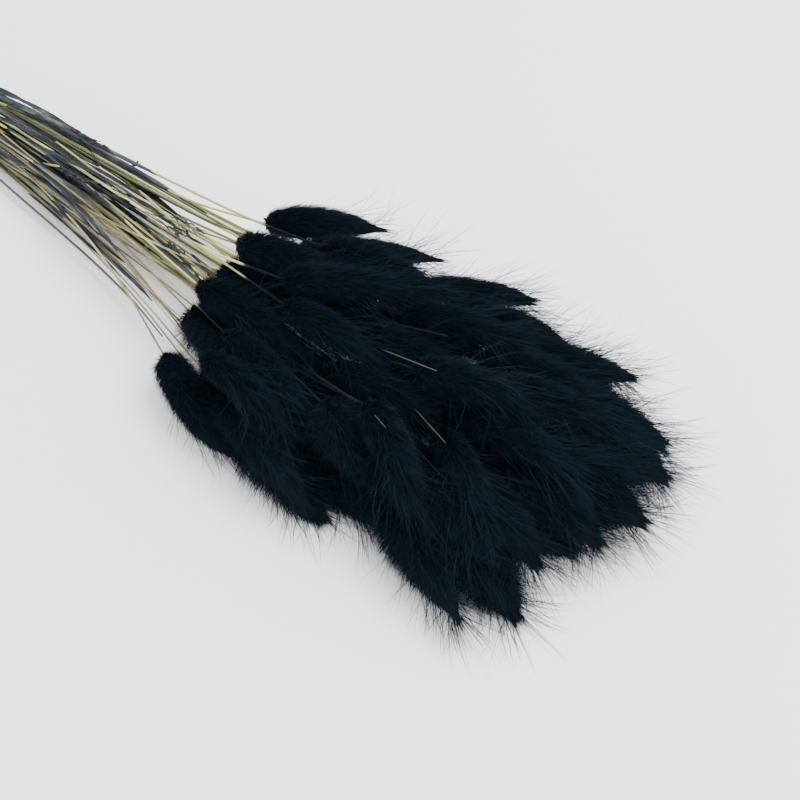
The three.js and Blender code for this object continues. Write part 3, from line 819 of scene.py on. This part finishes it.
def buildSheaths(material):
    random = np.random.default_rng(11)
    clusters = [Shape() for _ in clusterPlaces()]
    around = sheath["around"]
    for i, stem in enumerate(stems):
        if not stem.wrapped or stem.isOuter:
            continue
        start = stem.wrapped[0] - random.uniform(*sheath["before"])
        start = max(start, stem.station(tieBand.centre) + sheath["fromTie"])
        end = stem.wrapped[1] + random.uniform(*sheath["after"])
        end = min(end, stem.route.length - sheath["fromHead"])
        s = np.linspace(start, end, max(int((end - start) / sheath["spacing"]), sheath["leastRows"]))
        wide = random.uniform(*sheath["halfWidth"]) * wavy(random, s, *sheath["wideWave"])
        wide = wide * np.interp(s[-1] - s, [0, sheath["narrowing"]], [sheath["narrowEnd"], 1])
        high = random.uniform(*sheath["halfHeight"]) * wavy(random, s, *sheath["highWave"])
        turned = random.uniform(0, turn) + np.cumsum(random.normal(0, sheath["twist"], len(s)))
        s = np.concatenate([[s[0] + sheath["lip"]], s, [s[-1] - sheath["lip"]]])
        wide, high, turned = (np.concatenate([v[:1], v, v[-1:]]) for v in (wide, high, turned))
        wide[[0, -1]] *= sheath["lipWide"]
        high[[0, -1]] *= sheath["lipHigh"]
        torn = np.zeros((len(s), around))
        torn[-2:] = random.uniform(*sheath["torn"]) * random.uniform(0, 1, around) ** 2
        torn[:2] = -random.uniform(*sheath["torn"]) * random.uniform(0, 1, around) ** 2
        ribs = random.uniform(*sheath["ribs"], around)
        shift, tone = i * straw["patternStep"], random.uniform(*sheath["tone"])
        clusters[stem.cluster].addTube(
            stem.route, s, wide, high, turned, around, shift, 0.0, torn, ribs, tone=tone)
    for k, shape in enumerate(clusters):
        if shape.points:
            shape.piece(f"sheaths_{k + 1}", material, "leaf", [], True)


# loose dry leaf blades: keeled, twisted along their length, and pointed at one end
leaf = {
    "spacing": 2.5 * mm, "around": 8, "halfThickness": 0.16 * mm, "keel": 0.35, "wider": 1.15,
    "shape": ([0, 0.04, 0.3, 0.7, 0.9, 1], [0.5, 0.8, 1, 0.85, 0.45, 0.05]),
    "wave": (7 * mm, 0.88, 1.1), "turned": (-0.4, 0.4), "twist": (0.4, 1.3), "torn": 3 * mm,
    "tone": (0.2, 0.8), "patternStep": 1.3,
}


def buildLeaves(material):
    random = np.random.default_rng(23)
    for i, node in enumerate(sorted(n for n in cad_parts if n.startswith("leaf"))):
        points, near = weldedMesh(node)
        first = min(capMiddles(points, near), key=lambda k: points[k][0])
        rings, _ = ringsFrom(first, near)
        route = Route([points[ring].mean(0) for ring in rings])
        halfWidth = np.linalg.norm(points[rings[2]] - points[rings[2]].mean(0), axis=1).max()
        s = np.linspace(0, route.length, int(route.length / leaf["spacing"]))
        wide = halfWidth * leaf["wider"] * np.interp(s / route.length, *leaf["shape"])
        wide = wide * wavy(random, s, *leaf["wave"])
        turned = random.uniform(*leaf["turned"]) + random.uniform(*leaf["twist"]) * s / route.length
        around, high, shift = leaf["around"], leaf["halfThickness"], i * leaf["patternStep"]
        torn = np.zeros((len(s), around))
        torn[0] = -random.uniform(0, leaf["torn"], around)
        tone = random.uniform(*leaf["tone"])
        shape = Shape()
        shape.addTube(route, s, wide, high, turned, around, shift, leaf["keel"], torn, tone=tone)
        shape.piece("blade_" + node[-1], material, "leaf", [node], True)


# a cord of three plies, wound round the bundle and knotted on top of it
def buildTie(material):
    shape = Shape()
    for points in (tieBand.winding(), tieBand.knot()):
        route = Route(points, band["spacing"])
        s = np.linspace(0, route.length, int(route.length / band["spacing"]))
        radius = tieBand.cord / 2
        for ply in range(band["plies"]):
            twist = s / band["pitch"] * turn + ply * turn / band["plies"]
            line = Route(route.place(s, radius * band["plyOut"], twist), band["spacing"])
            along = np.linspace(0, line.length, len(s))
            plyRadius = radius * band["plyRadius"]
            shape.addTube(line, along, plyRadius, plyRadius, 0.0, band["around"], ply)
    shape.piece("cord", material, "twine", ["tie"], True)


# withered leaves that lie along the stems and fill the bundle
strips = {
    "count": 32, "from": (-200, -45), "length": (35 * mm, 100 * mm), "halfWidth": (0.8 * mm, 1.5 * mm),
    "halfThickness": 0.14 * mm, "around": 8, "spacing": 3 * mm, "every": 7 * mm, "lift": 0.7 * mm,
    "shape": ([0, 0.06, 0.5, 0.9, 1], [0.55, 0.95, 1, 0.8, 0.3]), "wave": (8 * mm, 0.75, 1.2),
    "keel": 0.35, "torn": 4 * mm, "turned": 0.35, "twist": 0.09, "patternShare": 9,
    "aside": 0.9 * mm, "asideWave": (20 * mm, -0.7, 0.7), "rise": 7 * mm, "riseShare": (0.45, 1.0),
    # they follow stems that are this near to the middle at this share of their length
    "middleHalf": 16 * mm, "middleAt": 0.4,
    # long ones at the bundle's edge, which the tie still holds
    "held": [
        [(-230, 25, 5), (-190, 27.5, 8), (-149, 26.3, 12.5), (-118, 23.6, 15.5)],
        [(-230, 20, 8), (-186, 22.5, 10), (-150, 22.5, 13), (-104, 20, 17)],
        [(-228, 12, 9), (-180, 14, 11), (-140, 13.5, 12.5), (-98, 12.5, 15)],
    ],
    "heldHalfWidth": 1.7 * mm, "heldTurned": 0.3, "heldPattern": 0.9,
}


def buildStrips(material):
    random = np.random.default_rng(43)
    shape = Shape()

    def addStrip(route, halfWidth, turned, shift):
        s = np.linspace(0, route.length, int(route.length / strips["spacing"]))
        wide = halfWidth * np.interp(s / route.length, *strips["shape"])
        wide = wide * wavy(random, s, *strips["wave"])
        turned = turned + np.cumsum(random.normal(0, strips["twist"], len(s)))
        around, high, keel = strips["around"], strips["halfThickness"], strips["keel"]
        torn = np.zeros((len(s), around))
        torn[0] = -random.uniform(0, strips["torn"], around)
        torn[-1] = random.uniform(0, strips["torn"], around)
        tone = random.uniform(0, 1)
        shape.addTube(route, s, wide, high, turned, around, shift, keel, torn, tone=tone)

    sides = [stem.route.at(stem.route.length * strips["middleAt"])[1] for stem in stems]
    away = np.abs(np.array(sides) - laid(0, 0)[1])
    middle = [stem for stem, side in zip(stems, away) if side < strips["middleHalf"]]
    for _ in range(strips["count"]):
        stem = middle[random.integers(len(middle))]
        start = stem.route.points[0].copy()
        start[0] = laid(random.uniform(*strips["from"]), 0)[0]
        first = stem.station(start)
        long = random.uniform(*strips["length"])
        s = np.arange(first, first + long, strips["every"])
        line = stem.route.at(s)
        line[:, 1] += strips["aside"] * random.normal(0, 1) + wavy(random, s, *strips["asideWave"]) * mm
        rise = np.array([topAt(x, y) for x, y, _ in line]) + strips["lift"] - line[:, 2]
        rise = np.polyval(np.polyfit(s - first, rise.clip(0, strips["rise"]), 2), s - first)
        line[:, 2] += rise * random.uniform(*strips["riseShare"])
        halfWidth, turned = random.uniform(*strips["halfWidth"]), random.normal(0, strips["turned"])
        addStrip(Route(line), halfWidth, turned, first * strips["patternShare"])
    for i, places in enumerate(strips["held"]):
        route = Route([laid(*place) for place in places])
        turned = random.normal(0, strips["heldTurned"])
        addStrip(route, strips["heldHalfWidth"], turned, i * strips["heldPattern"])
    shape.piece("withered_leaves", material, "leaf", [], True)


# loose straws, a stub and a forked twig that lie on the bundle. Each straw has its two ends, its half
# thickness in millimetres and its tone
scraps = {
    "straws": [
        ((-126, -2), (-104, -5), 0.62, 0.6), ((-128, 12), (-60, 6), 0.6, 0.5),
        ((-96, -4), (-12, -12), 0.62, 0.62), ((-62, 9), (-14, 3), 0.7, 0.95),
        ((-150, 1), (-118, -2), 0.5, 0.3), ((-150, -5), (-112, -9), 0.45, 0.2),
    ],
    "stub": ((-77, 15.5, 20), (-76.5, 23, 22), 0.85), "stubTone": 0.3,
    "twig": ((-30, 8), (-9, -3), (-8, 3), 0.42), "twigTone": 0.16, "forkRise": 3 * mm, "forkShare": 0.8,
    "onHeads": [
        ((107, -10.8), (139, -15.4), 0.27, 0.04), ((135.8, -24.8), (157.5, -33.5), 0.24, 0.06),
        ((129.9, -43.4), (137.3, -45.6), 0.22, 0.0),
    ],
    "lift": 0.8 * mm, "twigLift": 1.4 * mm, "furLift": 0.5 * mm, "pressed": 0.6,
    "points": 7, "rodShape": ([0, 0.12, 0.85, 1], [0.6, 1, 0.9, 0.5]), "rodSpacing": 3 * mm,
    "rodPattern": 3,
    # long loose straws at the bundle's lower edge
    "long": [
        ([(-228, -5, 3), (-139, -19.4, 5), (-85.4, -26.4, 5), (-50, -31.5, 5), (-22.9, -37.1, 6),
          (7, -46, 9)], 0.72, 0.07),
        ([(-228, -3, 4), (-147.9, -11.2, 7), (-104.6, -13.8, 7), (-69.5, -18, 7), (-42.6, -22.4, 8),
          (-12, -30, 9), (10, -34, 11)], 0.42, 0.78),
    ],
    "around": 8,
}
# torn scraps of leaf, in heaps that lie round lines: two ends, how far they stray, and how many
shred = {
    "heaps": [((-110, -3), (0, -12), 2.6, 84), ((-122, 18), (-92, 15), 1.6, 18), ((-34, 1), (0, -8), 4, 9)],
    "length": (5 * mm, 15 * mm), "halfWidth": (0.3 * mm, 0.9 * mm), "halfThickness": 0.13 * mm,
    "lift": (0.5 * mm, 1.6 * mm), "unevenness": 0.6 * mm, "follows": 0.6, "torn": 0.5 * mm,
    "stray": 0.6, "heading": 0.17, "bend": [-0.3, 0, 0.2, 0, -0.3], "turned": (-0.7, 0.7),
    "twist": 0.5, "keel": 0.4, "shape": ([0, 0.2, 0.7, 1], [0.5, 1, 0.9, 0.2]), "rows": 8,
    "tone": (0, 0.3), "pattern": (0, 9),
}


# how high the stems reach at a place
def topAt(x, y, reach=1.6 * mm, further=0.5 * mm):
    away = np.hypot(stemPoints[:, 0] - x, stemPoints[:, 1] - y)
    isNear = away < max(reach, away.min() + further)
    return stemPoints[isNear, 2].max()


# how high the fur reaches at a place
def furTopAt(x, y):
    tops = []
    for head in heads:
        away = np.hypot(head.route.points[:, 0] - x, head.route.points[:, 1] - y).clip(0, head.girth)
        rise = np.sqrt(head.girth ** 2 - away ** 2)
        tops.append((head.route.points[:, 2] + rise)[away < head.girth].max(initial=0))
    return max(tops)


# points of a straight piece that lies on what is under it between two places
def lyingOn(start, end, lift, top=topAt):
    start, end = laid(*start), laid(*end)
    t = np.linspace(0, 1, scraps["points"])
    line = start + (end - start) * t[:, None]
    tops = np.array([top(x, y) for x, y, _ in line]) + lift
    slope, level = np.polyfit(t, tops, 1)
    line[:, 2] = level + slope * t
    line[:, 2] += (tops - line[:, 2]).max() * scraps["pressed"]
    return line


def buildScraps(strawMaterial, slateMaterial):
    random = np.random.default_rng(31)
    straws, shreds = Shape(), Shape()
    around = scraps["around"]

    def addRod(shape, line, halfThick, tone):
        route = Route(line)
        s = np.linspace(0, route.length, max(int(route.length / scraps["rodSpacing"]), 4))
        size = halfThick * mm * np.interp(s / route.length, *scraps["rodShape"])
        shift = tone * scraps["rodPattern"]
        shape.addTube(route, s, size, size, 0.0, around, shift, tone=tone, along=0.0)

    def addShred(shape, start, heading):
        long = random.uniform(*shred["length"])
        end = start + long * np.array([math.cos(heading), math.sin(heading), 0])
        line = start + (end - start) * np.linspace(0, 1, len(shred["bend"]))[:, None]
        tops = np.array([topAt(x, y) for x, y, _ in line])
        level, most = np.median(tops), shred["unevenness"]
        line[:, 2] = level + (tops - level).clip(-most, most) * shred["follows"]
        line[:, 2] += random.uniform(*shred["lift"])
        line[:, 1] += np.array(shred["bend"]) * random.normal(0, 1) * mm
        route = Route(line, 1 * mm)
        s = np.linspace(0, route.length, shred["rows"])
        wide = random.uniform(*shred["halfWidth"]) * np.interp(s / route.length, *shred["shape"])
        turned = random.uniform(*shred["turned"]) + random.normal(0, shred["twist"]) * s / route.length
        torn = np.zeros((len(s), around))
        torn[[0, -1]] = shred["torn"] * random.uniform(-1, 1, (2, around))
        high, shift, keel = shred["halfThickness"], random.uniform(*shred["pattern"]), shred["keel"]
        tone = random.uniform(*shred["tone"])
        shape.addTube(route, s, wide, high, turned, around, shift, keel, torn, tone=tone, along=0.0)

    for start, end, halfThick, tone in scraps["straws"]:
        addRod(straws, lyingOn(start, end, halfThick * mm + scraps["lift"]), halfThick, tone)
    for places, halfThick, tone in scraps["long"]:
        addRod(straws, [laid(*place) for place in places], halfThick, tone)
    for start, end, halfThick, tone in scraps["onHeads"]:
        addRod(straws, lyingOn(start, end, scraps["furLift"], furTopAt), halfThick, tone)
    start, end, halfThick = scraps["stub"]
    addRod(shreds, np.linspace(laid(*start), laid(*end), 4), halfThick, scraps["stubTone"])
    start, end, fork, halfThick = scraps["twig"]
    line = lyingOn(start, end, scraps["twigLift"])
    addRod(straws, line, halfThick, scraps["twigTone"])
    root = line[len(line) // 2]
    tip = np.array([*laid(*fork)[:2], root[2] + scraps["forkRise"]])
    addRod(straws, np.linspace(root, tip, 4), halfThick * scraps["forkShare"], scraps["twigTone"])
    for (x0, y0), (x1, y1), stray, count in shred["heaps"]:
        for _ in range(count):
            t = random.uniform(0, 1)
            x, y = x0 + (x1 - x0) * t, y0 + (y1 - y0) * t + random.normal(0, stray * shred["stray"])
            heading = math.atan2(y1 - y0, x1 - x0) + random.normal(0, shred["heading"])
            addShred(shreds, laid(x, y), heading)
    straws.piece("loose_straws", strawMaterial, "straw", [], True)
    shreds.piece("leaf_scraps", slateMaterial, "leaf", [], True)


# the stage
stage = {
    "floor": shown(244, 245, 248), "floorSize": 6.0, "roughness": 0.9, "specular": 0.5,
    "grain": shown(232, 234, 238), "grainScale": 900.0, "grainShare": 0.04,
    "sky": (1.0, 1.0, 1.0, 1.0), "skyStrength": 2.06,
    "key": {"place": (0.9, 0.9, 1.6), "size": 1.9, "power": 74.0},
}
# the camera looks at a place in the layout from this many degrees and millimetres
camera = {"target": (118, -12, 15), "azimuth": 38, "elevation": 52, "distance": 500, "view": 38}


def buildStage():
    bpy.ops.mesh.primitive_plane_add(size=stage["floorSize"])
    floor = bpy.context.active_object
    floor.name = "floor"
    finish = Finish("floor")
    grain = finish.noise(finish.node("TexCoord", {}, {}, "Object"), stage["grainScale"], 3.0)
    colour = finish.mixed(grain * stage["grainShare"], stage["floor"], stage["grain"])
    floor.data.materials.append(finish.finished(colour, stage["roughness"], stage["specular"]))
    world = bpy.data.worlds.new("sky")
    bpy.context.scene.world = world
    world.use_nodes = True
    background = world.node_tree.nodes["Background"]
    background.inputs["Color"].default_value = stage["sky"]
    background.inputs["Strength"].default_value = stage["skyStrength"]
    light, key = bpy.data.lights.new("key", "AREA"), stage["key"]
    light.shape, light.size, light.energy = "DISK", key["size"], key["power"]
    placed("key", light, key["place"], -Vector(key["place"]))


def buildCamera():
    azimuth, elevation = math.radians(camera["azimuth"]), math.radians(camera["elevation"])
    back = Vector((
        math.sin(azimuth) * math.cos(elevation),
        -math.cos(azimuth) * math.cos(elevation),
        math.sin(elevation),
    ))
    lens = bpy.data.cameras.new("camera")
    lens.angle = math.radians(camera["view"])
    place = Vector(laid(*camera["target"])) + back * camera["distance"] * mm
    bpy.context.scene.camera = placed("camera", lens, place, -back)


print("camera and stage")
buildCamera()
buildStage()
print("stems, sheaths, leaves and tie")
strawMaterial, slateMaterial = strawFinish(), slateFinish()
buildStems(strawMaterial)
buildSheaths(slateMaterial)
buildLeaves(slateMaterial)
buildTie(twineFinish())
stemPoints = np.concatenate([stem.route.points for stem in stems])
buildStrips(slateMaterial)
buildScraps(strawMaterial, slateMaterial)
print("fur")
fur = furFinish()
for head in heads:
    head.build(fur)
print("triangles:", sum(counts.values()), "largest piece", max(counts.values()))
